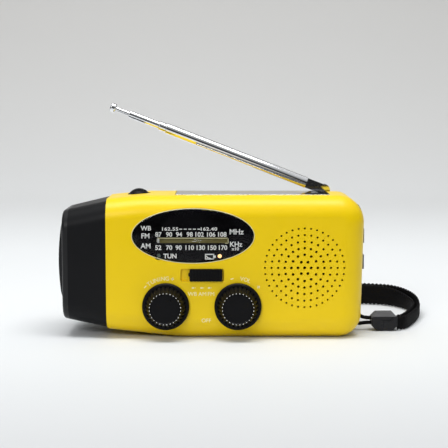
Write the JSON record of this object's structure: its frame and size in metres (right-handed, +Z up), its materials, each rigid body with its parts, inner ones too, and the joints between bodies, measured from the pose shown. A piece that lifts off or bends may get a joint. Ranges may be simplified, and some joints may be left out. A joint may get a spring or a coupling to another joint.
{
  "type": "portable emergency radio",
  "caption": "Hand-crank and solar portable radio with a flashlight head, tuning dial, round speaker grille, telescopic antenna and wrist strap.",
  "frame": {"origin": "middle of the flat base that the case stands on, midway through the case's depth", "axes": "+X from the flashlight head to the speaker end, +Y from the dial to the back, +Z up"},
  "size_m": [0.1641, 0.1121, 0.1002],
  "materials": {
    "yellow_case": "satin moulded ABS",
    "black_case": "satin moulded ABS",
    "black_gloss": "printed gloss panel",
    "knob_black": "fine moulded texture",
    "clear_lens": "clear polycarbonate",
    "reflector_metal": "vacuum-metallised",
    "antenna_chrome": "polished plating",
    "steel": "plated steel",
    "circuit_board": "solder mask",
    "white_plastic": "natural nylon",
    "pointer_white": "white plastic",
    "rail_olive": "matt strip",
    "lamp_clear": "moulded epoxy",
    "battery_wrap": "shrink sleeve",
    "ferrite": "sintered ferrite",
    "copper": "enamelled wire",
    "speaker_cloth": "open weave",
    "speaker_paper": "paper cone",
    "solar_blue": "silicon cells",
    "rubber_grey": "soft moulded rubber",
    "webbing_black": "woven polyester"
  },
  "bodies": {
    "case": {"front_shell": "yellow_case", "rear_shell": "yellow_case", "battery_cover": "yellow_case", "case_screws": "steel", "head_housing": "black_case", "head_bezel": "black_case", "flashlight_lens": "clear_lens", "reflector": "reflector_metal", "led_board": "circuit_board", "flashlight_leds": "lamp_clear", "dial_plate": "black_gloss", "dial_window": "clear_lens", "dial_lamps": "lamp_clear", "pointer_rail": "rail_olive", "dial_cord": "webbing_black", "tuning_capacitor": "white_plastic", "volume_pot": "white_plastic", "band_switch_body": "black_case", "flashlight_switch": "white_plastic", "main_board": "circuit_board", "battery_pack": "battery_wrap", "ferrite_rod": "ferrite", "ferrite_coil": "copper", "grille_cloth": "speaker_cloth", "speaker_frame": "steel", "speaker_cone": "speaker_paper", "speaker_magnet": "steel", "solar_cell": "solar_blue", "solar_cover": "clear_lens", "stator": "steel", "gearbox_front_plate": "steel", "gearbox_back_plate": "steel", "port_board": "circuit_board", "usb_port": "steel", "charge_port": "steel", "port_cover_pin": "steel", "strap_clip": "black_case", "strap_cord": "webbing_black", "wrist_strap": "webbing_black"},
    "pointer": {"dial_pointer": "pointer_white"},
    "tuning": {"tuning_knob": "knob_black", "dial_drum": "white_plastic"},
    "volume": {"volume_knob": "knob_black"},
    "band_switch": {"band_switch_cap": "knob_black"},
    "button": {"flashlight_button": "knob_black"},
    "antenna_base": {"antenna_swivel": "antenna_chrome", "antenna_pivot_pin": "antenna_chrome"},
    "antenna_outer": {"antenna_tube": "antenna_chrome"},
    "antenna_middle": {"antenna_section_2": "antenna_chrome"},
    "antenna_inner": {"antenna_section_3": "antenna_chrome"},
    "antenna_tip": {"antenna_rod": "antenna_chrome"},
    "crank": {"crank_gear": "white_plastic", "crank_arm": "black_case", "crank_screw": "steel"},
    "idler": {"compound_gear": "white_plastic"},
    "rotor": {"rotor_pinion": "white_plastic", "rotor_magnet": "steel"},
    "grip_axle": {"crank_grip_axle": "steel"},
    "grip": {"crank_grip": "black_case"},
    "port_flap": {"port_cover": "rubber_grey"}
  },
  "joints": [
    {"name": "tuning_turn", "type": "hinge", "parent": "case", "child": "tuning", "pos_m": [-0.0197, -0.0225, 0.0143], "axis": [0, 1, 0], "range_deg": [0, 178]},
    {"name": "pointer_slide", "type": "slide", "parent": "case", "child": "pointer", "axis": [1, 0, 0], "range_m": [0, 0.0291]},
    {"name": "volume_turn", "type": "hinge", "parent": "case", "child": "volume", "pos_m": [0.0109, -0.0225, 0.0143], "axis": [0, 1, 0], "range_deg": [0, 300]},
    {"name": "band_switch_slide", "type": "slide", "parent": "case", "child": "band_switch", "axis": [1, 0, 0], "range_m": [-0.0034, 0]},
    {"name": "flashlight_press", "type": "slide", "parent": "case", "child": "button", "axis": [0, 0, -1], "range_m": [0, 0.0012], "stiffness_N_per_m": 400, "springref_m": -0.001},
    {"name": "antenna_swivel_turn", "type": "hinge", "parent": "case", "child": "antenna_base", "pos_m": [0.05, 0.014, 0.057], "axis": [0, 0, -1], "range_deg": [0, 180]},
    {"name": "antenna_tilt", "type": "hinge", "parent": "antenna_base", "child": "antenna_outer", "pos_m": [0.05, 0.014, 0.0613], "axis": [0, 1, 0], "range_deg": [-20, 68]},
    {"name": "antenna_slide_2", "type": "slide", "parent": "antenna_outer", "child": "antenna_middle", "axis": [-0.9323, 0, 0.3616], "range_m": [-0.0028, 0.049]},
    {"name": "antenna_slide_3", "type": "slide", "parent": "antenna_middle", "child": "antenna_inner", "axis": [-0.9323, 0, 0.3616], "range_m": [-0.0135, 0.037]},
    {"name": "antenna_slide_4", "type": "slide", "parent": "antenna_inner", "child": "antenna_tip", "axis": [-0.9323, 0, 0.3616], "range_m": [-0.006, 0.035]},
    {"name": "crank_turn", "type": "hinge", "parent": "case", "child": "crank", "pos_m": [0.038, 0.0225, 0.031], "axis": [0, 1, 0], "continuous": true},
    {"name": "idler_turn", "type": "hinge", "parent": "case", "child": "idler", "pos_m": [0.0164, 0.013, 0.031], "axis": [0, 1, 0], "continuous": true},
    {"name": "rotor_turn", "type": "hinge", "parent": "case", "child": "rotor", "pos_m": [0.0092, 0.006, 0.01853], "axis": [0, 1, 0], "continuous": true},
    {"name": "grip_fold", "type": "hinge", "parent": "crank", "child": "grip_axle", "pos_m": [-0.004, 0.0264, 0.031], "axis": [0, 0, 1], "range_deg": [0, 90]},
    {"name": "grip_spin", "type": "hinge", "parent": "grip_axle", "child": "grip", "pos_m": [0.007, 0.0264, 0.031], "axis": [1, 0, 0], "continuous": true},
    {"name": "port_flap_swing", "type": "hinge", "parent": "case", "child": "port_flap", "pos_m": [0.064, -0.0024, 0.0273], "axis": [0, 1, 0], "range_deg": [0, 95]}
  ],
  "couplings": [
    {"joint": "pointer_slide", "follows": "tuning_turn", "m_per_rad": 0.0093},
    {"joint": "idler_turn", "follows": "crank_turn", "ratio": -3},
    {"joint": "rotor_turn", "follows": "crank_turn", "ratio": 9}
  ]
}
